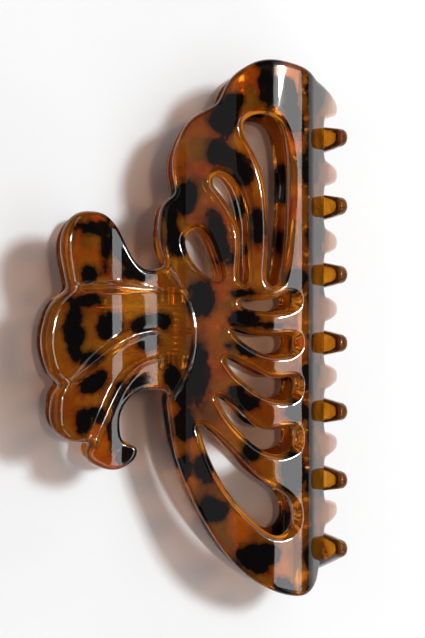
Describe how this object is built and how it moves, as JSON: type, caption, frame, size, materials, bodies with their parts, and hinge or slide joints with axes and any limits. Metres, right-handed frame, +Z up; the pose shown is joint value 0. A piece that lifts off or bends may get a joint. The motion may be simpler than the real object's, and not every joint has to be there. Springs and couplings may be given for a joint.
{
  "type": "claw clip",
  "caption": "Sprung claw clip for hair: two openwork jaws with interlocking teeth and lobed thumb handles, turning on a hinge pin.",
  "frame": {"origin": "middle of the clip's box, on the surface that it lies on", "axes": "+X from the handles to the teeth, +Y along the hinge pin towards the end with the lobed edge, +Z up from the surface that the clip lies on"},
  "size_m": [0.0634, 0.1076, 0.0357],
  "materials": {
    "upper_jaw": "polished translucent tortoiseshell",
    "lower_jaw": "polished translucent tortoiseshell",
    "pin_steel": "drawn steel rod",
    "spring_steel": "drawn spring wire"
  },
  "bodies": {
    "lower_half": {"lower_jaw": "lower_jaw", "hinge_pin": "pin_steel", "torsion_spring": "spring_steel"},
    "upper_half": {"upper_jaw": "upper_jaw"}
  },
  "joints": [
    {"name": "jaw_hinge", "type": "hinge", "parent": "lower_half", "child": "upper_half", "pos_m": [-0.00408, -0.00041, 0.01561], "axis": [0, -1, 0], "range_deg": [0, 50], "stiffness_Nm_per_rad": 0.15, "springref_deg": -34.38, "deforming": ["torsion_spring"]}
  ]
}
